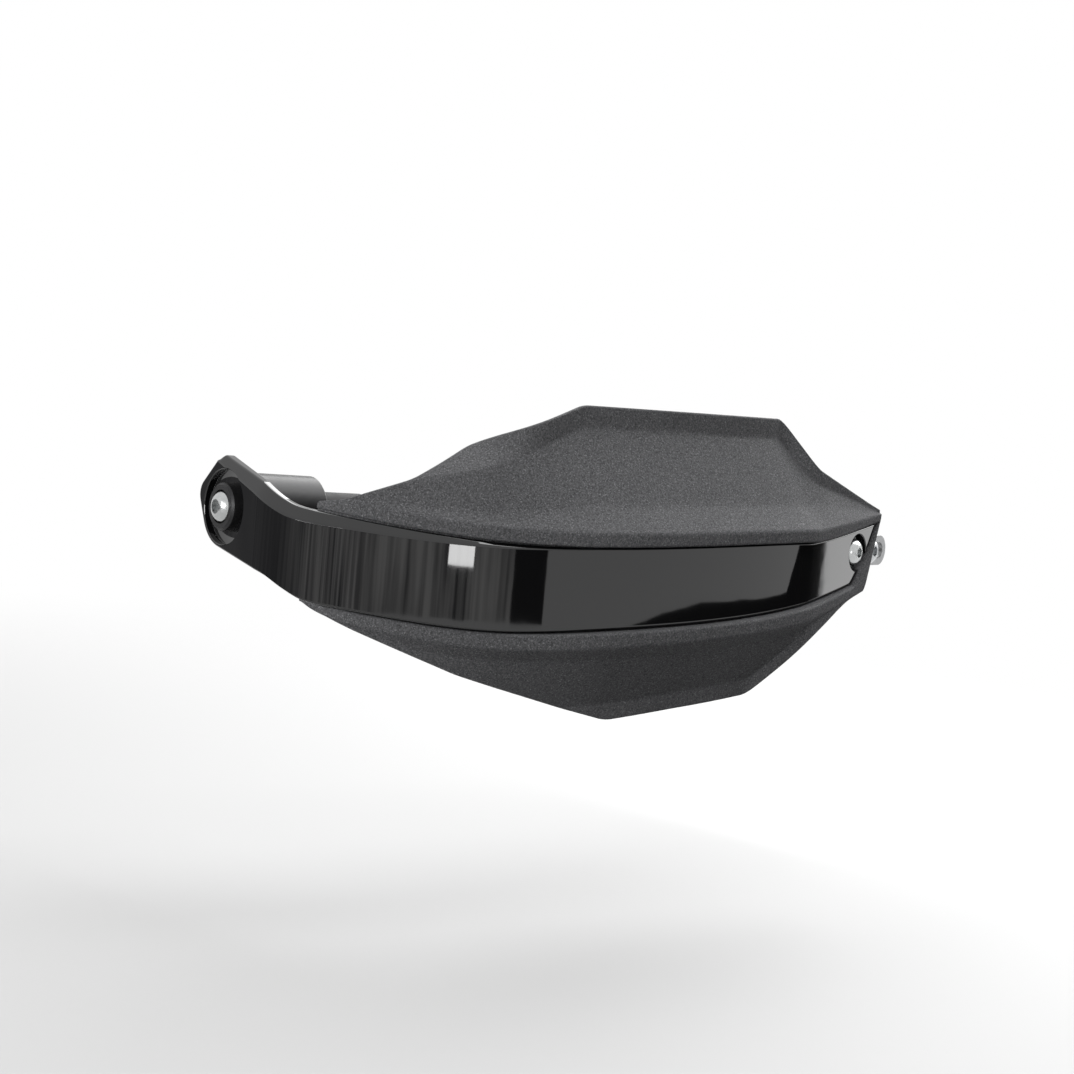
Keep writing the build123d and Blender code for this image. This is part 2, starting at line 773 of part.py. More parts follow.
parts = {
    "shroud": shroud,
    "centre_band": centre_band,
    "shroud_screws": Compound(children=shroud_screws),
    "shroud_screw_washers": Compound(children=shroud_washers),
    "bar_end_bolt": bar_end_bolt,
    "bar_end_collar": bar_end_collar,
    "eye_bush": eye_bush,
    "bar_end_weight": bar_end_weight,
    "anchor_rubber": anchor_rubber,
    "anchor_washer": anchor_washer,
    "anchor_nut": anchor_nut,
    "inner_screw": inner_screw,
    "inner_screw_washer": inner_screw_washer,
    "inner_bracket": inner_bracket,
    "inner_nut": inner_nut,
    "standoff_tube": standoff_tube,
    "standoff_bolt": standoff_bolt,
    "standoff_washer": standoff_washer,
    "clamp_body": clamp_body,
    "clamp_cap": clamp_cap,
    "clamp_screws": Compound(children=clamp_screws),
}
os.makedirs("parts", exist_ok=True)
for name, solid in parts.items():
    export_step(solid, f"parts/{name}.step")
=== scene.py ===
import bmesh
import bpy
import numpy as np
from mathutils import Matrix


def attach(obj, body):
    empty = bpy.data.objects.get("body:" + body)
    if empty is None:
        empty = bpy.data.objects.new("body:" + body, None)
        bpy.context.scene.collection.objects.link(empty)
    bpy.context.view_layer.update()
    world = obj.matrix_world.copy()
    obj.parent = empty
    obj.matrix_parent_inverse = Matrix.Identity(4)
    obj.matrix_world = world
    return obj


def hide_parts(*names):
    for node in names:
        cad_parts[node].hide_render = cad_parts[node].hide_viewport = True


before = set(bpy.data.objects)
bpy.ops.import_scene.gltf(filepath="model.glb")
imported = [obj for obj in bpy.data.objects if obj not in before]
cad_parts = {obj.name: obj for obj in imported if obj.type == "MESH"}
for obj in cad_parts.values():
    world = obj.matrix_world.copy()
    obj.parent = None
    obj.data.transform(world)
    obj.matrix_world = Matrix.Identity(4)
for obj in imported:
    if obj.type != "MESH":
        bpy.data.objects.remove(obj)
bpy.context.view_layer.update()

# Bar-end anchor: a moulded rubber plug that the bolt squeezes between a zinc-plated washer and a long
# nut, so that it swells and grips inside the handlebar tube. Rubber is moulded, the metal is turned.


class Finish:
    """A socket among a material's nodes. Arithmetic on it, or with a plain number, adds Math nodes."""

    def __init__(self, tree, socket):
        self.tree = tree
        self.socket = socket

    def node(self, kind, settings, inputs, output=0):
        """Any node: its settings are set first, then its sockets take numbers, colours or links."""
        made = self.tree.nodes.new(kind)
        for key, value in settings.items():
            setattr(made, key, value)
        for key, value in inputs.items():
            if isinstance(value, Finish):
                self.tree.links.new(value.socket, made.inputs[key])
            else:
                made.inputs[key].default_value = value
        return Finish(self.tree, made.outputs[output])

    def maths(self, operation, first, second):
        return self.node("ShaderNodeMath", {"operation": operation}, {0: first, 1: second})

    def __add__(self, other):
        return self.maths("ADD", self, other)

    def __radd__(self, other):
        return self.maths("ADD", other, self)

    def __sub__(self, other):
        return self.maths("SUBTRACT", self, other)

    def __rsub__(self, other):
        return self.maths("SUBTRACT", other, self)

    def __mul__(self, other):
        return self.maths("MULTIPLY", self, other)

    def __rmul__(self, other):
        return self.maths("MULTIPLY", other, self)

    def __pow__(self, other):
        return self.maths("POWER", self, other)

    def grain(self, size, detail=2.0, roughness=0.5):
        """Noise whose lumps are about size metres across, read at this place."""
        inputs = {"Vector": self, "Scale": 1.0 / size, "Detail": detail, "Roughness": roughness}
        return self.node("ShaderNodeTexNoise", {}, inputs)

    def between(self, dark, light):
        """Colour that goes from dark to light as this value goes from 0 to 1."""
        mix = {"data_type": "RGBA"}
        return self.node("ShaderNodeMix", mix, {0: self, 6: (*dark, 1), 7: (*light, 1)}, 2)

    def bumped(self, strength, distance):
        """Normal of a surface that this value raises by distance metres."""
        inputs = {"Strength": strength, "Distance": distance, "Height": self}
        return self.node("ShaderNodeBump", {}, inputs)


def new_finish(name, **fixed):
    """A material with one Principled shader, its fixed sockets set, and the place on the piece."""
    material = bpy.data.materials.new(name)
    material.use_nodes = True
    shader = material.node_tree.nodes["Principled BSDF"]
    for key, value in fixed.items():
        shader.inputs[key.replace("_", " ")].default_value = value
    coordinates = material.node_tree.nodes.new("ShaderNodeTexCoord")
    return material, Finish(material.node_tree, coordinates.outputs["Object"])


def feed(material, **values):
    """Links values that change over the surface to the shader's sockets."""
    shader = material.node_tree.nodes["Principled BSDF"]
    for key, value in values.items():
        material.node_tree.links.new(value.socket, shader.inputs[key.replace("_", " ")])


def dress(material, *nodes):
    """Gives CAD nodes their material."""
    for node in nodes:
        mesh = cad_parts[node].data
        mesh.materials.clear()
        mesh.materials.append(material)


rubber, place = new_finish("rubber", Specular_IOR_Level=0.35)
bloom = place.grain(0.006, 3.0)
feed(
    rubber,
    Base_Color=bloom.between((0.014, 0.014, 0.015), (0.030, 0.030, 0.031)),
    Roughness=0.62 + 0.18 * bloom,
    Normal=place.grain(0.0006, 3.0).bumped(0.5, 0.00006),
)
zinc_steel, place = new_finish("zinc_steel", Metallic=1.0)
spangle = place.grain(0.0022, 3.0)
feed(
    zinc_steel,
    Base_Color=spangle.between((0.42, 0.43, 0.44), (0.62, 0.63, 0.64)),
    Roughness=0.24 + 0.16 * spangle,
    Normal=place.grain(0.0004, 2.0).bumped(0.25, 0.00002),
)
dress(rubber, "anchor_rubber")
dress(zinc_steel, "anchor_washer", "anchor_nut")

# Bar-end weight: a turned steel slug as wide as the grip, coated satin black. It stands between the
# tube's end and the band's eye, and the long bolt holds all three together.
black_metal, place = new_finish("black_metal", Specular_IOR_Level=0.25)
orange_peel = place.grain(0.0014, 2.0)
feed(
    black_metal,
    Base_Color=place.grain(0.012, 3.0).between((0.010, 0.010, 0.011), (0.018, 0.018, 0.019)),
    Roughness=0.30 + 0.12 * orange_peel,
    Normal=orange_peel.bumped(0.25, 0.00004),
)
dress(black_metal, "bar_end_weight")

# Centre band: one injection moulding in piano-black gloss plastic, bent from the bar end round the front
# of the hand to a flat facet. A bolt holds the eye at its outer end, and a screw holds its inner end.
ARM_FACE = -45.0
ARM_REACH = 26.0
BENDS = [(60.0, 51.0), (190.0, 19.5), (405.0, 23.7), (86.0, 6.3)]
SPANS = [radius * np.radians(turn) for radius, turn in BENDS]
SWEEP, FRONT, INNER_BEND, FACET = np.cumsum(SPANS)
FACET_RUN = 82.4
PLAN_END = FACET + FACET_RUN
BAND_THICKNESS = 7.0


def on_plan(along, depth, height):
    """Points in metres from millimetres along the band's face, behind it, and up.

    The face runs forward to zero, then each bend turns its heading by length over radius and moves it by
    radius times the change of the heading's sine and cosine. Depth goes square to the heading.
    """
    heading = np.full(np.shape(along), -np.pi / 2)
    x = np.full(np.shape(along), ARM_FACE)
    y = -ARM_REACH - np.minimum(along, 0.0)
    start = 0.0
    for (radius, _), span in zip(BENDS, SPANS):
        turned = heading + np.clip(along - start, 0.0, span) / radius
        x = x + radius * (np.sin(turned) - np.sin(heading))
        y = y - radius * (np.cos(turned) - np.cos(heading))
        heading = turned
        start += span
    beyond = np.maximum(along - start, 0.0)
    x = x + beyond * np.cos(heading) - depth * np.sin(heading)
    y = y + beyond * np.sin(heading) + depth * np.cos(heading)
    return np.stack([x, y, np.broadcast_to(height, x.shape)], -1) * 0.001


def flowing(points, along):
    """Smooth line through the points: cubics whose slope at a point is the mean of its chords."""
    at, value = np.array(points).T
    chords = np.diff(value) / np.diff(at)
    slopes = np.concatenate([chords[:1], (chords[1:] + chords[:-1]) / 2, chords[-1:]])
    k = np.clip(np.searchsorted(at, along) - 1, 0, len(chords) - 1)
    step = np.diff(at)[k]
    t = (along - at[k]) / step
    rise = t * t * (3 - 2 * t)
    bow = step * t * (1 - t) * (slopes[k] * (1 - t) - slopes[k + 1] * t)
    return value[k] + np.diff(value)[k] * rise + bow


def eased(points, along, ease):
    """Straight lines between the points, averaged over a window of plus and minus ease at each place."""
    at, value = np.array(points).T
    window = np.linspace(-ease, ease, 9)
    return np.interp(np.asarray(along)[..., None] + window, at, value).mean(-1)


AFTER_BEND = 0.85 * SWEEP
LOW_PLACE = SWEEP + 0.88 * SPANS[1]
FRONT_PLACE = FRONT + 0.281 * SPANS[2]
TOP_EDGE = [
    (0.0, 8.0),
    (0.26 * SWEEP, 2.6),
    (0.41 * SWEEP, 0.2),
    (AFTER_BEND, -1.9),
    (LOW_PLACE, -5.0),
    (FRONT_PLACE, -3.1),
    (INNER_BEND, 2.6),
    (FACET, 2.8),
    (PLAN_END, 15.4),
]
BOTTOM_EDGE = [
    (0.0, -23.5),
    (0.19 * SWEEP, -25.8),
    (0.37 * SWEEP, -29.7),
    (0.56 * SWEEP, -33.4),
    (AFTER_BEND, -35.2),
    (LOW_PLACE, -40.6),
    (FRONT_PLACE, -38.6),
    (INNER_BEND, -27.9),
    (PLAN_END, -10.5),
]
BEVEL = [(0.56 * SWEEP, 5.0), (FRONT + 0.194 * SPANS[2], 0.0)]
EYE_RADIUS = 18.0
EYE = np.array([-ARM_REACH, 0.0])
EYE_PEAK = EYE + (-5.0, 22.5)
HEEL_RADIUS = 7.3
HEEL = EYE + (-14.0, 4.5)
INNER_SCREW = np.array([FACET + 48.9, -2.1])
BAND_END = FACET + 55.9
END_SLANT = np.tan(np.radians(27.5))
END_TOP = 12.8
END_CORNER = -7.4
END_CUT = 10.5


def tangent_angle(point, centre, radius, side):
    """Angle round a circle where a line from the point touches it: the point's own angle, turned by the
    angle whose cosine is radius over distance."""
    offset = point - centre
    return np.arctan2(offset[1], offset[0]) + side * np.arccos(radius / np.hypot(*offset))


def even(side, count):
    """The side's points moved to an even spacing along its length."""
    length = np.concatenate([[0.0], np.cumsum(np.hypot(*np.diff(side, axis=0).T))])
    at = np.linspace(0.0, length[-1], count)
    return np.stack([np.interp(at, length, side[:, 0]), np.interp(at, length, side[:, 1])], -1)


def grid_faces(rows, columns, start):
    """Quads of a grid of vertices that are numbered row by row from start."""
    index = start + np.arange(rows * columns).reshape(rows, columns)
    corners = [index[:-1, :-1], index[1:, :-1], index[1:, 1:], index[:-1, 1:]]
    return np.stack(corners, -1).reshape(-1, 4)


def surface(name, grids, material, crease=40.0):
    """One closed piece from grids of points: quads on each, welded where they meet, facing outwards."""
    starts = np.cumsum([0] + [grid.shape[0] * grid.shape[1] for grid in grids])
    points = np.concatenate([grid.reshape(-1, 3) for grid in grids])
    faces = np.concatenate([grid_faces(*grid.shape[:2], start) for grid, start in zip(grids, starts)])
    mesh = bpy.data.meshes.new(name)
    mesh.from_pydata(points.tolist(), [], faces.tolist())
    work = bmesh.new()
    work.from_mesh(mesh)
    bmesh.ops.remove_doubles(work, verts=work.verts, dist=2e-6)
    bmesh.ops.dissolve_degenerate(work, edges=work.edges, dist=1e-7)
    bmesh.ops.recalc_face_normals(work, faces=work.faces)
    work.to_mesh(mesh)
    work.free()
    piece = bpy.data.objects.new(name, mesh)
    bpy.context.scene.collection.objects.link(piece)
    mesh.materials.append(material)
    soften(mesh, crease)
    return piece


def soften(mesh, crease):
    """Smooth shading, with edges sharper than the crease angle left sharp."""
    mesh.polygons.foreach_set("use_smooth", np.ones(len(mesh.polygons), bool))
    mesh.set_sharp_from_angle(angle=np.radians(crease))


def revolved(profile, frame_of_axis, count=96):
    """Grid of a profile of (radius, distance) points turned about an axis given as a 4 by 3 array: the
    axis's foot, its direction and two directions across it. The last column meets the first."""
    radius, distance = np.array(profile).T
    foot, along, across, up = frame_of_axis
    angle = np.linspace(0.0, 2 * np.pi, count + 1)
    ring = np.cos(angle)[:, None] * across + np.sin(angle)[:, None] * up
    return foot + distance[:, None, None] * along + radius[:, None, None] * ring


def cut_away(piece, cutter, crease):
    """Takes the cutter's volume out of the piece, and removes the cutter."""
    carve = piece.modifiers.new("carve", "BOOLEAN")
    carve.object = cutter
    carve.operation = "DIFFERENCE"
    carve.solver = "MANIFOLD"
    carved = piece.evaluated_get(bpy.context.evaluated_depsgraph_get())
    mesh = bpy.data.meshes.new_from_object(carved)
    piece.modifiers.clear()
    piece.data = mesh
    soften(mesh, crease)
    bpy.data.objects.remove(cutter)


def band_outline(count_along, count_across):
    """Back outline of the flattened band as four sides of (along, height), in order round it.

    Top and bottom follow their edges. The eye's end goes round its boss, then its heel, then straight up
    to the peak, and the inner end is a slanted line with its lower corner cut. A running mean rounds the
    corners.
    """
    end_top = np.array([BAND_END + (END_TOP - END_CORNER) * END_SLANT, END_TOP])
    end_corner = np.array([BAND_END, END_CORNER])
    end_low = np.array([BAND_END - END_CUT, END_CORNER - END_CUT])
    along = np.linspace(0.0, end_top[0], 700)
    top = np.stack([along, flowing(TOP_EDGE, along) + np.interp(along, *np.array(BEVEL).T)], -1)
    top = np.concatenate([EYE_PEAK[None], top])
    along = np.linspace(end_low[0], 0.0, 700)
    bottom = np.stack([along, flowing(BOTTOM_EDGE, along)], -1)
    low = tangent_angle(bottom[-1], EYE, EYE_RADIUS, -1)
    between = tangent_angle(HEEL, EYE, EYE_RADIUS - HEEL_RADIUS, 1)
    high = tangent_angle(EYE_PEAK, HEEL, HEEL_RADIUS, 1)
    boss = np.linspace(low, between - 2 * np.pi, 120)
    heel = np.linspace(between - 2 * np.pi, high - 2 * np.pi, 80)
    boss = EYE + EYE_RADIUS * np.stack([np.cos(boss), np.sin(boss)], -1)
    heel = HEEL + HEEL_RADIUS * np.stack([np.cos(heel), np.sin(heel)], -1)
    eye = np.concatenate([boss, heel])
    bottom = np.concatenate([bottom, eye[:1]])
    inner = np.array([top[-1], end_corner, bottom[0]])
    sides = [top, inner, bottom, np.concatenate([eye, EYE_PEAK[None]])]
    counts = [1600, 160, 1600, 240]
    loop = np.concatenate([even(side, count + 1)[:-1] for side, count in zip(sides, counts)])
    window = np.hanning(9)[:, None] / np.hanning(9).sum()
    wrapped = np.concatenate([loop[-4:], loop, loop[:4]])
    loop = np.stack([np.convolve(wrapped[:, k], window[:, 0], "valid") for k in range(2)], -1)
    ends = np.cumsum([0] + counts)
    closed = np.concatenate([loop, loop[:1]])
    wanted = [count_along, count_across, count_along, count_across]
    return [even(closed[a : b + 1], count) for a, b, count in zip(ends, ends[1:], wanted)]


def bowl(loop, count_along, count_across):
    """Coons patch: the mean of the two ways of joining facing sides, less the pull of the corners."""
    top = loop[:count_along]
    inner = loop[count_along - 1 : count_along + count_across - 1]
    bottom = loop[count_along + count_across - 2 : 2 * count_along + count_across - 2][::-1]
    eye = np.concatenate([loop[2 * count_along + count_across - 3 :], loop[:1]])
    u = np.linspace(0.0, 1.0, count_along)[:, None, None]
    v = np.linspace(0.0, 1.0, count_across)[None, :, None]
    across = (1 - v) * top[:, None] + v * bottom[:, None]
    along = (1 - u) * eye[::-1][None] + u * inner[None]
    corners = (1 - u) * ((1 - v) * top[0] + v * bottom[0]) + u * ((1 - v) * top[-1] + v * bottom[-1])
    return across + along - corners


def fillet(start, corner, end, steps):
    """Round from start to end inside the corner: a conic, its corner weighted to come near an arc."""
    t = np.linspace(0.0, 1.0, steps)[:, None, None]
    weight = 0.75
    share = (1 - t) ** 2 + 2 * weight * t * (1 - t) + t**2
    return ((1 - t) ** 2 * start + 2 * weight * t * (1 - t) * corner + t**2 * end) / share


BAND_ALONG = 620
BAND_ACROSS = 44
EDGE_ROUND = 0.8
sides = band_outline(BAND_ALONG, BAND_ACROSS)
back_loop = np.concatenate([side[:-1] for side in sides])
along, height = back_loop.T
front_top = np.where(along < 0.0, 8.0 - 0.36 * along, flowing(TOP_EDGE, along))
front_loop = np.stack([along, np.minimum(height, front_top)], -1)


def inward(loop):
    """Unit directions into the loop: its running direction turned a quarter clockwise."""
    run = np.roll(loop, -1, 0) - np.roll(loop, 1, 0)
    run = run / np.hypot(*run.T)[:, None]
    return np.stack([run[:, 1], -run[:, 0]], -1)


front_in = inward(front_loop)
back_in = inward(back_loop)
bevel_depth = np.clip(0.7 * (height - front_loop[:, 1]), 1.8, 3.5)
corner_front = np.column_stack([front_loop, np.zeros(len(along))])
corner_middle = np.column_stack([back_loop, bevel_depth])
corner_back = np.column_stack([back_loop, np.full(len(along), BAND_THICKNESS)])
slope = corner_middle - corner_front
slope = slope / np.linalg.norm(slope, axis=1)[:, None]
level = np.array([0.0, 0.0, 1.0])
rim_front = corner_front + EDGE_ROUND * np.column_stack([front_in, np.zeros(len(along))])
rim_back = corner_back + EDGE_ROUND * np.column_stack([back_in, np.zeros(len(along))])
round_front = fillet(rim_front, corner_front, corner_front + EDGE_ROUND * slope, 6)
middle_start = corner_middle - EDGE_ROUND * slope
round_middle = fillet(middle_start, corner_middle, corner_middle + EDGE_ROUND * level, 6)
round_back = fillet(corner_back - EDGE_ROUND * level, corner_back, rim_back, 6)
across = np.array([0.08, 0.5, 0.92])[:, None, None]
bevel_wall = round_front[-1] + across * (round_middle[0] - round_front[-1])
flat_wall = round_middle[-1] + across * (round_back[0] - round_middle[-1])
rim = np.concatenate([round_front, bevel_wall, round_middle, flat_wall, round_back])
rim = np.concatenate([rim, rim[:, :1]], 1)
front_face = bowl(rim_front[:, :2], BAND_ALONG, BAND_ACROSS)
back_face = bowl(rim_back[:, :2], BAND_ALONG, BAND_ACROSS)
gloss_plastic, place = new_finish(
    "gloss_plastic",
    Specular_IOR_Level=0.62,
    IOR=1.52,
    Coat_Roughness=0.03,
)
haze = place.grain(0.03, 4.0)
feed(
    gloss_plastic,
    Base_Color=haze.between((0.0045, 0.0045, 0.005), (0.0065, 0.0065, 0.007)),
    Roughness=0.018 + 0.04 * haze**2.0,
    Normal=place.grain(0.013, 1.0).bumped(0.14, 0.00008),
)
band = surface(
    "band",
    [
        on_plan(rim[..., 0], rim[..., 2], rim[..., 1]),
        on_plan(front_face[..., 0], 0.0, front_face[..., 1]),
        on_plan(back_face[..., 0], BAND_THICKNESS, back_face[..., 1]),
    ],
    gloss_plastic,
)
eye_axis = np.array([(0.0, 0.0, 0.0), (0.001, 0.0, 0.0), (0.0, 0.001, 0.0), (0.0, 0.0, 0.001)])
eye_well = [
    (0.0, -50.0),
    (17.0, -50.0),
    (17.0, -45.0),
    (16.9, -44.8),
    (16.6, -44.55),
    (16.6, -41.9),
    (16.5, -41.62),
    (16.2, -41.5),
    (6.05, -41.5),
    (6.05, -37.0),
    (0.0, -37.0),
]
cut_away(band, surface("eye_cutter", [revolved(eye_well, eye_axis)], gloss_plastic), 40.0)
foot, behind = on_plan(np.array([INNER_SCREW[0]] * 2), np.array([0.0, 1.0]), INNER_SCREW[1])
facet_back = behind - foot
facet_up = np.array([0.0, 0.0, 0.001])
facet_along = np.cross(facet_back, facet_up) * 1000.0
inner_axis = np.stack([foot, facet_back, facet_along, facet_up])
inner_well = [
    (0.0, -5.0),
    (9.9, -5.0),
    (9.9, 0.0),
    (9.8, 0.2),
    (9.5, 0.45),
    (9.5, 4.8),
    (9.3, 5.0),
    (4.25, 5.0),
    (4.25, 10.0),
    (0.0, 10.0),
]
cut_away(band, surface("inner_cutter", [revolved(inner_well, inner_axis)], gloss_plastic), 40.0)
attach(band, "root")
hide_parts("centre_band")

# Eye hardware: a plated steel bush in the band's eye, a satin black anodised collar on top of it, and a
# bright stainless button-head bolt sunk in the collar that runs through the weight to the anchor.
black_alloy, place = new_finish("black_alloy", Metallic=0.55, Specular_IOR_Level=0.5)
blast = place.grain(0.00035, 2.0)
feed(
    black_alloy,
    Base_Color=place.grain(0.008, 3.0).between((0.014, 0.014, 0.015), (0.024, 0.024, 0.025)),
    Roughness=0.36 + 0.14 * blast,
    Normal=blast.bumped(0.35, 0.00002),
)
bright_steel, place = new_finish("bright_steel", Metallic=1.0)
polish = place.grain(0.0016, 3.0)
feed(
    bright_steel,
    Base_Color=polish.between((0.42, 0.43, 0.43), (0.58, 0.59, 0.59)),
    Roughness=0.16 + 0.12 * polish,
    Normal=place.grain(0.0009, 2.0).bumped(0.12, 0.00002),
)
dress(zinc_steel, "eye_bush")
dress(black_alloy, "bar_end_collar")
dress(bright_steel, "bar_end_bolt")

# Shroud: one thin moulding in charcoal plastic with a fine spark-eroded grain. Two wings lean back from
# lips that stand proud of the gloss band, and the band lies in the channel between them.
WALL = 2.8
FLOOR = BAND_THICKNESS + 0.3
GAP = 0.8
WING_TIP = 0.47 * SWEEP
FULL_SECTION = 0.9 * SWEEP
RIM_START = SWEEP + 0.31 * SPANS[1]
RIM_BEND = SWEEP + 0.726 * SPANS[1]
CROWN_START = FRONT + 0.252 * SPANS[2]
CROWN_END = FACET + 0.035 * FACET_RUN
SHOULDER = FACET + 0.217 * FACET_RUN
UPPER_TIP = FACET + 71.5
KEEL_START = FRONT + 0.233 * SPANS[2]
KEEL_LOWEST = FRONT + 0.382 * SPANS[2]
KEEL_INNER = FRONT + 0.902 * SPANS[2]
KEEL_END = FACET
LOWER_TIP = FACET + 0.44 * FACET_RUN
UPPER_OUTLINE = [
    (WING_TIP, 6.6),
    (0.84 * SWEEP, 9.5),
    (RIM_START, 19.9),
    (RIM_BEND, 35.5),
    (CROWN_START, 58.0),
    (CROWN_END, 61.8),
    (SHOULDER, 38.9),
    (UPPER_TIP, 19.6),
]
UPPER_RIM = [
    (WING_TIP, 0.3),
    (RIM_START, 0.4),
    (RIM_BEND, 10.0),
    (FRONT, 11.4),
    (CROWN_START, 10.0),
    (CROWN_END, 10.0),
    (SHOULDER, 8.3),
    (UPPER_TIP, 0.6),
]
UPPER_LEAN = [(WING_TIP, 25.0), (LOW_PLACE, 25.0), (CROWN_START, 35.0)]
RIM_LEAN = [(RIM_START, 50.0), (LOW_PLACE, 50.0), (FRONT + 0.1 * SPANS[2], 0.0)]
LOWER_OUTLINE = [
    (WING_TIP, -34.4),
    (RIM_BEND, -61.6),
    (KEEL_START, -76.8),
    (KEEL_LOWEST, -82.6),
    (KEEL_INNER, -72.3),
    (KEEL_END, -46.2),
    (LOWER_TIP, -26.8),
    (PLAN_END, -14.0),
]
LOWER_RIM = [
    (WING_TIP, 0.3),
    (KEEL_START, 0.4),
    (KEEL_LOWEST, 7.8),
    (KEEL_END, 7.8),
    (LOWER_TIP, 0.4),
]
LOWER_LEAN = [(FRONT + 0.611 * SPANS[2], 38.0), (FACET + 0.061 * FACET_RUN, 30.4), (LOWER_TIP, 20.0)]
LIP = [
    (WING_TIP, 6.5),
    (RIM_START, 2.45),
    (LOW_PLACE, 0.7),
    (FRONT_PLACE, -4.45),
    (INNER_BEND, -4.45),
    (UPPER_TIP, -1.2),
]
WALL_RUN = [(WING_TIP, 0.5), (FULL_SECTION, WALL)]
UPPER_LIP = [(WING_TIP, 0.1), (FULL_SECTION, 2.3), (SHOULDER, 2.3), (UPPER_TIP, 0.3)]
LOWER_LIP = [
    (WING_TIP, 0.1),
    (FULL_SECTION, 1.3),
    (FRONT, 3.0),
    (FACET, 3.0),
    (FACET + 0.69 * FACET_RUN, 1.3),
]
HOLLOW = [
    (FULL_SECTION, 0.0),
    (RIM_START, 2.0),
    (CROWN_START, 3.2),
    (CROWN_END, 3.2),
    (SHOULDER, 0.6),
]
HOLLOW_HEIGHT = [(FULL_SECTION, 3.0), (LOW_PLACE, 3.8), (CROWN_START, 11.0)]
GROOVE = [(FULL_SECTION, 0.0), (FRONT, 2.0), (INNER_BEND, 2.0), (LOWER_TIP, 0.2)]
GROOVE_HEIGHT = 6.0


def shroud_corners(along, channel):
    """Corners of the shroud's section as (depth, height): down the outer skin, then up the inner one.

    Wings go back from the lips by their height times the tangent of their lean, with a slight hollow
    beside each lip, and end in rims. The upper rim leans back at the outer wing. Channel is 1 where the
    band lies and 0 past its inner end. The inner skin is the outer one moved back by the wall, its bends
    moved by the wall times half-lean tangents.
    """
    wall = eased(WALL_RUN, along, 4.0)
    lip = eased(LIP, along, 8.0)
    roof = flowing(TOP_EDGE, along) + eased(BEVEL, along, 6.0) + GAP
    sill = flowing(BOTTOM_EDGE, along) - GAP
    lower_angle = np.radians(eased(LOWER_LEAN, along, 6.0))
    upper_angle = np.radians(eased(UPPER_LEAN, along, 8.0))
    upper_slope = np.tan(upper_angle)
    rim_angle = np.radians(eased(RIM_LEAN, along, 6.0))
    miter_angle = (upper_angle + rim_angle) / 2
    miter = wall / np.cos((upper_angle - rim_angle) / 2)
    up = wall * np.tan(upper_angle / 2)
    down = wall * np.tan(lower_angle / 2)
    brow = roof + wall + up + eased(UPPER_LIP, along, 5.0)
    chin = sill - wall - down - eased(LOWER_LIP, along, 5.0)
    crown = np.maximum(eased(UPPER_OUTLINE, along, 3.0), brow + 0.6)
    crease = crown - eased(UPPER_RIM, along, 5.0)
    keel = np.minimum(eased(LOWER_OUTLINE, along, 3.5), chin - 0.6)
    fold = keel + eased(LOWER_RIM, along, 4.0)
    crease_depth = lip + (crease - brow) * upper_slope
    crown_depth = crease_depth + (crown - crease) * np.tan(rim_angle)
    fold_depth = lip + (chin - fold) * np.tan(lower_angle)
    rise = np.minimum(eased(HOLLOW_HEIGHT, along, 8.0), 0.5 * (crease - brow))
    hollow = brow + rise
    hollow_depth = lip + rise * upper_slope + eased(HOLLOW, along, 8.0)
    fall = np.minimum(GROOVE_HEIGHT, 0.5 * (chin - fold))
    groove = chin - fall
    groove_depth = lip + fall * np.tan(lower_angle) + eased(GROOVE, along, 8.0)
    floor = lip + channel * (FLOOR - lip)
    back = FLOOR + wall
    corners = [
        (crown_depth, crown),
        (crease_depth, crease),
        (hollow_depth, hollow),
        (lip, brow),
        (lip, roof),
        (floor, roof),
        (floor, sill),
        (lip, sill),
        (lip, chin),
        (groove_depth, groove),
        (fold_depth, fold),
        (fold_depth, keel),
        (fold_depth + wall, keel),
        (fold_depth + wall, fold + down),
        (groove_depth + wall, groove + down),
        (lip + wall, chin + down),
        (lip + wall, sill - wall),
        (back, sill - wall),
        (back, roof + wall),
        (lip + wall, roof + wall),
        (lip + wall, brow - up),
        (hollow_depth + wall, hollow - up),
        (crease_depth + miter * np.cos(miter_angle), crease - miter * np.sin(miter_angle)),
        (crown_depth + wall / np.cos(rim_angle), crown),
    ]
    return np.stack([np.stack(np.broadcast_arrays(*corner), -1) for corner in corners], -2)


ROUNDS = np.array([1.0, 4.5, 16.0, 3.0, 0.9, 0.4, 0.4, 1.4, 2.6, 8.0, 3.0, 1.0])
ROUNDS = np.concatenate([ROUNDS, [1.0, 2.0, 6.0, 1.0, 1.0, 1.0, 1.0, 1.0, 1.0, 14.0, 2.5, 1.0]])
CORNERS = len(ROUNDS)
ROUND_STEPS = 7
RUN_SHARES = np.array([0.07, 0.5, 0.93])
round_share = np.linspace(0.0, 1.0, ROUND_STEPS)
ring_corner = np.repeat(np.arange(CORNERS), ROUND_STEPS + len(RUN_SHARES))
ring_share = np.tile(np.concatenate([round_share, RUN_SHARES]), CORNERS)
ring_is_run = np.tile(np.arange(ROUND_STEPS + len(RUN_SHARES)) >= ROUND_STEPS, CORNERS)
RING = len(ring_corner)


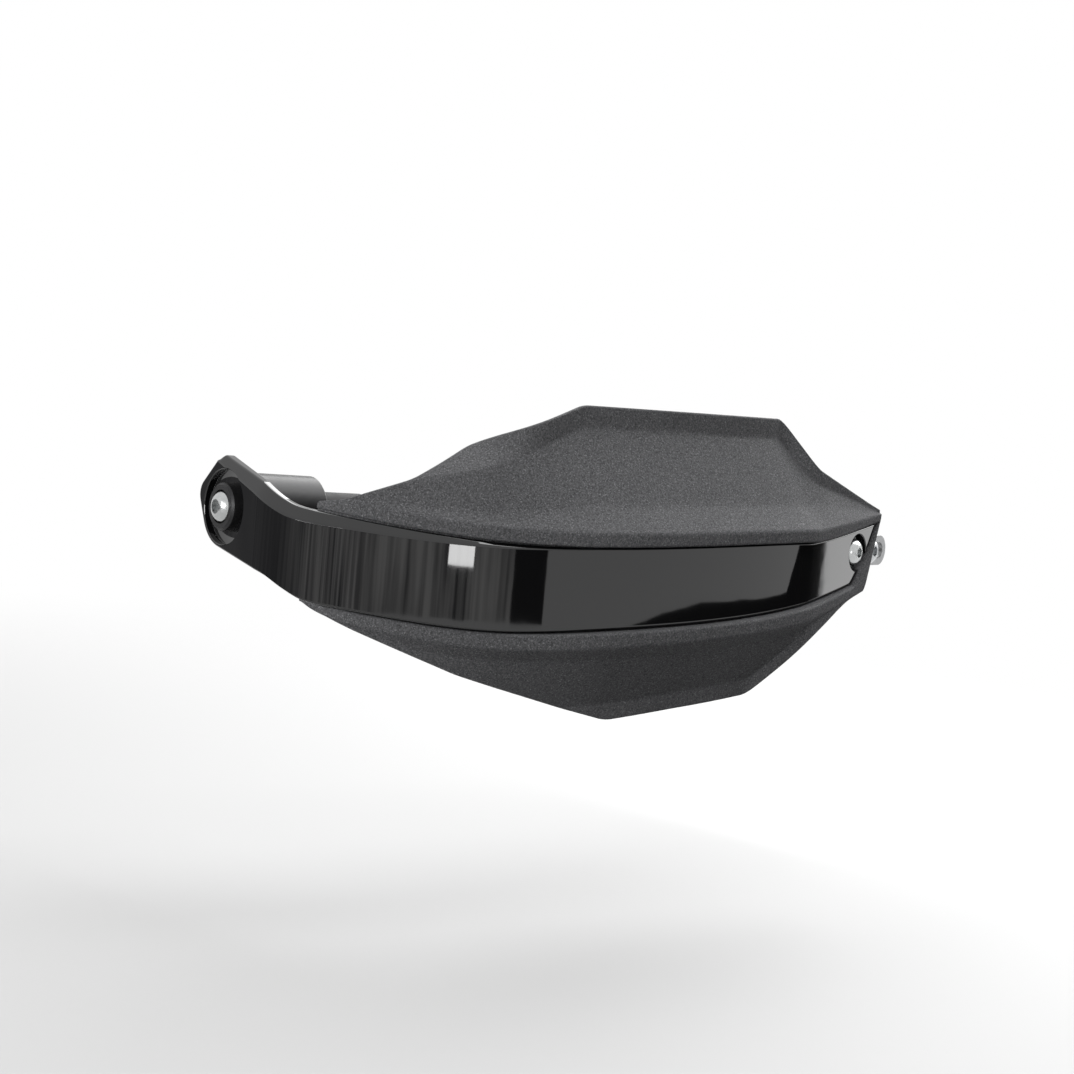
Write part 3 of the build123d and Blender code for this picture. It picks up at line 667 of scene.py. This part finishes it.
def shroud_ring(along, channel):
    """Ring of (depth, height) points round the section, one for each column of the along array.

    Each corner is rounded by a conic from one side to the other. Its tangent length is the round times
    the tangent of half the turn, or less where a side is short. Straight runs join the rounds.
    """
    corners = shroud_corners(along, channel)
    before = corners - np.roll(corners, 1, -2)
    after = np.roll(corners, -1, -2) - corners
    length_before = np.maximum(np.linalg.norm(before, axis=-1), 1e-6)
    length_after = np.maximum(np.linalg.norm(after, axis=-1), 1e-6)
    cosine = (before * after).sum(-1) / (length_before * length_after)
    half = np.arccos(np.clip(cosine, -1.0, 1.0)) / 2
    room = 0.45 * np.minimum(length_before, length_after)
    tangent = np.minimum(ROUNDS * np.tan(np.minimum(half, 1.2)), room)
    start = corners - before * (tangent / length_before)[..., None]
    end = corners + after * (tangent / length_after)[..., None]
    column = np.arange(RING)
    follow = (ring_corner + 1) % CORNERS
    t = ring_share[:, None]
    weight = np.cos(half)[:, column, ring_corner][..., None] * 2 * t * (1 - t)
    share = (1 - t) ** 2 + weight + t**2
    first = start[:, column, ring_corner]
    last = end[:, column, ring_corner]
    rounded = ((1 - t) ** 2 * first + weight * corners[:, column, ring_corner] + t**2 * last) / share
    run = (1 - t) * last + t * start[:, column, follow]
    return np.where(ring_is_run[:, None], run, rounded)


def channel_end(height):
    """Where the channel ends, by height: the band's slanted end and its gap."""
    level = np.clip(height, -22.0, 15.0) - END_CORNER
    return BAND_END + GAP + level * np.where(level > 0.0, END_SLANT, 1.0)


def shroud_end(height):
    """Where the shroud ends, by height: a line at 18.5 degrees, a 4 mm arc at the upper tip, and a
    parabola that draws in towards the lower one."""
    line = UPPER_TIP + (height - 19.6) * np.tan(np.radians(18.5))
    arc = UPPER_TIP - 5.03 + np.sqrt(np.maximum(16.0 - (height - 17.16) ** 2, 0.04))
    return np.where(height > 15.9, arc, line - 0.06 * np.maximum(-17.0 - height, 0.0) ** 2)


def tip_lean(height):
    """How far the wing tip leans inward, by height over its foot: 9 degrees."""
    return (np.clip(height, -36.0, 12.0) + 34.9) * np.tan(np.radians(9.0))


# Columns lie in stretches: the outer tip's round, the steady run, the run that closes on the channel's
# end, the round of the channel's mouth, the run to the shroud's end, and the inner tip's round.
STRETCHES = (4, 270, 44, 5, 11, 4)
MOUTH_ROUND = 0.9
MOUTH_DEPTH = 1.2
CHANNEL_DEPTH = 8.9
TIP_ROUND = 0.6
TIP_LEAN_RUN = 50.0


def by_stretch(*values):
    """One value for each column, where each stretch has its own value or row of values."""
    return np.concatenate([np.broadcast_to(value, count) for value, count in zip(values, STRETCHES)])


steady = np.linspace(WING_TIP, FACET + 16.4, STRETCHES[1])
closing = np.linspace(0.0, 1.0, STRETCHES[2] + 1)[1:]
quarter = np.linspace(0.0, np.pi / 2, STRETCHES[3])
mouth = MOUTH_ROUND * (1 - np.cos(quarter))
mouth_depth = MOUTH_DEPTH * (1 - np.sin(quarter))
ending = np.linspace(0.0, 1.0, STRETCHES[4] + 1)[1:]
tip_round = TIP_ROUND * (1 - np.cos(quarter[1:]))
closing_place = steady[-1] * (1 - closing)
fixed_part = by_stretch(WING_TIP, steady, closing_place, mouth, MOUTH_ROUND * (1 - ending), 0.0)
tip_part = np.clip(1.0 - (fixed_part - WING_TIP) / TIP_LEAN_RUN, 0.0, 1.0)
tip_part = tip_part * by_stretch(1.0, 1.0, 0.0, 0.0, 0.0, 0.0)
channel_part = by_stretch(0.0, 0.0, closing, 1.0, 1 - ending, 0.0)
end_part = by_stretch(0.0, 0.0, 0.0, 0.0, ending, 1.0)
has_channel = by_stretch(1.0, 1.0, 1.0, mouth_depth / CHANNEL_DEPTH, 0.0, 0.0)
inset = by_stretch(0.5 * tip_round[::-1], 0.0, 0.0, 0.0, 0.0, tip_round)
outer_shift = -0.5 * TIP_ROUND * np.cos(quarter[:-1])
end_shift = by_stretch(outer_shift, 0.0, 0.0, 0.0, 0.0, TIP_ROUND * np.sin(quarter[1:]))
level = np.zeros((len(fixed_part), RING))
for _ in range(8):
    place_along = fixed_part[:, None] + channel_part[:, None] * channel_end(level)
    place_along = place_along + end_part[:, None] * (shroud_end(level) - TIP_ROUND) + end_shift[:, None]
    place_along = place_along + tip_part[:, None] * tip_lean(level)
    ring = shroud_ring(place_along, has_channel[:, None])
    level = ring[..., 1]
tangent = np.roll(ring, -1, 1) - np.roll(ring, 1, 1)
tangent = tangent / np.maximum(np.linalg.norm(tangent, axis=-1), 1e-6)[..., None]
ring = ring + inset[:, None, None] * np.stack([-tangent[..., 1], tangent[..., 0]], -1)
closed = np.concatenate([ring, ring[:, :1]], 1)
closed_along = np.concatenate([place_along, place_along[:, :1]], 1)
skin = on_plan(closed_along, closed[..., 0], closed[..., 1])
HALF_RING = CORNERS // 2 * ROUND_STEPS + (CORNERS // 2 - 1) * len(RUN_SHARES)
INNER_START = HALF_RING + len(RUN_SHARES)
cap_share = np.concatenate([[0.0], RUN_SHARES, [1.0]])[:, None, None]


def end_cap(edge):
    """Fills the section's end between its outer and inner skins, which run opposite ways round."""
    outer = edge[:HALF_RING]
    inner = edge[INNER_START : INNER_START + HALF_RING][::-1]
    return (1 - cap_share) * outer + cap_share * inner


grained_plastic, place = new_finish("grained_plastic", Specular_IOR_Level=0.03)
erosion = place.grain(0.0009, 3.0, 0.7)
fleck_and_glint = place.grain(0.0006, 1.0)
cloud = place.grain(0.05, 2.0)
# Colour: a random grain tone, plus rare bright specks that are painted glints, standing in for light
# sparkling off the grain.
tone_and_glints = 1.3 * (erosion - 0.35) + 0.12 * cloud + 20.0 * fleck_and_glint**10.0
feed(
    grained_plastic,
    Base_Color=tone_and_glints.between((0.052, 0.052, 0.054), (0.235, 0.236, 0.244)),
    Roughness=0.70 - 0.20 * erosion,
    Normal=(erosion + 0.5 * fleck_and_glint).bumped(0.5, 0.0001),
)
shroud = surface("shroud_moulding", [skin, end_cap(skin[0]), end_cap(skin[-1])], grained_plastic)
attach(shroud, "root")
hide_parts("shroud")

# Shroud screws: zinc-plated cross-head pan screws with plain washers, driven from behind through the
# channel's floor into the band.
dress(zinc_steel, "shroud_screws", "shroud_screw_washers")

# Inner fixing: a bright button-head screw and washer in the band's recess go through the shroud to a
# slotted aluminium link, cut from plate and tumbled, with a flange nut behind it.
bare_alloy, place = new_finish("bare_alloy", Metallic=1.0)
tumble = place.grain(0.0011, 3.0)
feed(
    bare_alloy,
    Base_Color=tumble.between((0.30, 0.305, 0.31), (0.42, 0.425, 0.43)),
    Roughness=0.34 + 0.16 * tumble,
    Normal=tumble.bumped(0.3, 0.00003),
)
dress(bright_steel, "inner_screw", "inner_screw_washer")
dress(bare_alloy, "inner_bracket")
dress(zinc_steel, "inner_nut")

# Standoff and clamp: a black coated tube spaces the link from a split aluminium clamp on the handlebar.
# A long bolt runs through the tube, and two socket screws draw the clamp's halves together.
dress(black_metal, "standoff_tube")
dress(zinc_steel, "standoff_bolt", "standoff_washer", "clamp_screws")
dress(black_alloy, "clamp_body", "clamp_cap")

# Studio: a pale floor under the guard, a white surround, large soft lamps, boards that give the gloss
# its edges, and the camera that stands in front of the bar end and a little above it.
FLOOR_HEIGHT = -0.17


def stand_in(name, points, faces, material):
    """A piece of the studio that isn't part of the guard."""
    mesh = bpy.data.meshes.new(name)
    mesh.from_pydata(points, [], faces)
    mesh.materials.append(material)
    piece = bpy.data.objects.new(name, mesh)
    bpy.context.scene.collection.objects.link(piece)
    return piece


def shown_to(tree):
    """1 for rays from the camera, a mirror or glass, and 0 for light that bounces off matt faces."""
    path = tree.nodes.new("ShaderNodeLightPath")
    kinds = ("Camera", "Glossy", "Transmission")
    rays = [Finish(tree, path.outputs[f"Is {kind} Ray"]) for kind in kinds]
    return rays[0].maths("MAXIMUM", rays[0].maths("MAXIMUM", rays[0], rays[1]), rays[2])


floor_paint, place = new_finish("floor_paint", Roughness=0.8, Specular_IOR_Level=0.2)
tree = floor_paint.node_tree
shown = shown_to(tree)
patches = shown * (0.94 + 0.06 * place.grain(1.5, 2.0))
feed(floor_paint, Base_Color=patches.between((0.03, 0.03, 0.03), (0.60, 0.60, 0.60)))
reach = place.node("ShaderNodeVectorMath", {"operation": "LENGTH"}, {0: place}, "Value")
smooth = {"interpolation_type": "SMOOTHSTEP"}
fade = place.node("ShaderNodeMapRange", smooth, {0: reach, 1: 0.3, 2: 1.1})
white = place.node("ShaderNodeEmission", {}, {"Color": (1, 1, 1, 1), "Strength": 1.0})
paint = Finish(tree, tree.nodes["Principled BSDF"].outputs[0])
both = place.node("ShaderNodeMixShader", {}, {0: shown * fade, 1: paint, 2: white})
tree.links.new(both.socket, tree.nodes["Material Output"].inputs["Surface"])
corners = [(x, y, FLOOR_HEIGHT) for x, y in ((-30, -30), (30, -30), (30, 30), (-30, 30))]
stand_in("floor", corners, [(0, 1, 2, 3)], floor_paint)

world = bpy.data.worlds.new("studio")
bpy.context.scene.world = world
world.use_nodes = True
sky = world.node_tree.nodes["Background"]
sky.inputs["Color"].default_value = (1, 1, 1, 1)
sky_strength = 0.12 + 0.88 * shown_to(world.node_tree)
world.node_tree.links.new(sky_strength.socket, sky.inputs["Strength"])


def standing_board(name, line, material):
    """Board that stands on the floor along a line of (x, y, top), out of the camera's sight."""
    points = [(x, y, FLOOR_HEIGHT) for x, y, _ in line] + line
    count = len(line)
    faces = [(k, k + 1, count + k + 1, count + k) for k in range(count - 1)]
    stand_in(name, points, faces, material).visible_camera = False


black_card, place = new_finish("black_card", Roughness=0.9, Specular_IOR_Level=0.1)
mottle = place.grain(0.2, 2.0)
feed(black_card, Base_Color=mottle.between((0.010, 0.010, 0.010), (0.016, 0.016, 0.016)))
sweep = [
    (0.506, -1.132, -0.168),
    (0.650, -1.076, -0.147),
    (0.796, -0.997, -0.131),
    (1.040, -0.800, -0.120),
    (1.109, -0.725, -0.113),
    (1.137, -0.689, -0.060),
    (1.157, -0.662, 0.050),
    (1.273, -0.429, 0.050),
]
standing_board("sweep_board", sweep, black_card)
standing_board("middle_board", [(0.082, -1.20, 0.1), (0.200, -1.195, 0.1)], black_card)
pale_screen, place = new_finish(
    "pale_screen",
    Roughness=0.9,
    Specular_IOR_Level=0.1,
    Emission_Strength=1.0,
)
stretch = {"operation": "MULTIPLY"}
drawn_up = place.node("ShaderNodeVectorMath", stretch, {0: place, 1: (1.0, 1.0, 0.12)})
sideways = place.node("ShaderNodeSeparateXYZ", {}, {0: place}, "Y")
lit = place.node("ShaderNodeMapRange", smooth, {0: sideways, 1: 0.55, 2: -0.45})
pleats = 2.2 * (drawn_up.grain(0.035, 3.0) - 0.5) + 1.2 * (place.grain(0.25, 3.0) - 0.5) + 0.55
feed(
    pale_screen,
    Base_Color=pleats.between((0.02, 0.02, 0.02), (0.05, 0.05, 0.05)),
    Emission_Color=(pleats * lit + 0.1 * pleats).between((0.10, 0.10, 0.105), (0.92, 0.91, 0.90)),
)
screen = [
    (-0.400, 1.080, 0.05),
    (-1.120, 0.170, 0.0),
    (-1.100, -0.200, -0.03),
    (-0.980, -0.550, -0.03),
    (-0.800, -0.820, -0.03),
    (-0.594, -1.010, -0.03),
    (-0.464, -1.083, -0.03),
    (-0.327, -1.138, -0.03),
    (-0.149, -1.183, -0.03),
    (0.088, -1.205, -0.03),
]
standing_board("pale_screen", screen, pale_screen)


def soft_lamp(name, spot, target, width, height, power):
    """Area lamp at a spot, facing a target, with its width level."""
    lamp = bpy.data.lights.new(name, "AREA")
    lamp.shape = "RECTANGLE"
    lamp.size = width
    lamp.size_y = height
    lamp.energy = power
    holder = bpy.data.objects.new(name, lamp)
    away = np.array(spot, float) - np.array(target, float)
    away = away / np.linalg.norm(away)
    side = np.cross((0.0, 0.0, 1.0), away)
    side = side / np.linalg.norm(side)
    turn = np.eye(4)
    turn[:3, :3] = np.stack([side, np.cross(away, side), away], -1)
    turn[:3, 3] = spot
    holder.matrix_world = Matrix(turn.tolist())
    holder.visible_camera = False
    bpy.context.scene.collection.objects.link(holder)


soft_lamp("top_lamp", (1.25, 0.15, 1.30), (0.1, -0.1, 0.0), 2.4, 2.4, 88.0)
soft_lamp("side_lamp", (-1.62, -0.42, 0.24), (0.05, -0.1, 0.0), 1.2, 0.5, 22.0)
soft_lamp("window_lamp", (-0.232, -1.125, -0.026), (0.013, -0.095, -0.026), 0.150, 0.158, 0.84)
soft_lamp("facet_lamp", (1.72, -0.482, -0.07), (0.24, -0.118, -0.07), 0.14, 0.19, 0.115)

FOCAL_PIXELS = 1500.0
PICTURE_PIXELS = 1074.0
SENSOR_WIDTH = 36.0
camera = bpy.data.cameras.new("camera")
camera.lens = FOCAL_PIXELS / PICTURE_PIXELS * SENSOR_WIDTH
camera.sensor_width = SENSOR_WIDTH
camera.clip_start = 0.01
holder = bpy.data.objects.new("camera", camera)
stand = np.eye(4)
stand[:3, 0] = (0.74394, -0.66256, 0.08699)
stand[:3, 1] = (-0.02338, 0.10429, 0.99427)
stand[:3, 2] = (-0.66784, -0.74171, 0.06209)
stand[:3, 3] = (-0.37868, -0.57550, 0.03926)
holder.matrix_world = Matrix(stand.tolist())
bpy.context.scene.collection.objects.link(holder)
bpy.context.scene.camera = holder
bpy.context.scene.view_settings.view_transform = "Standard"
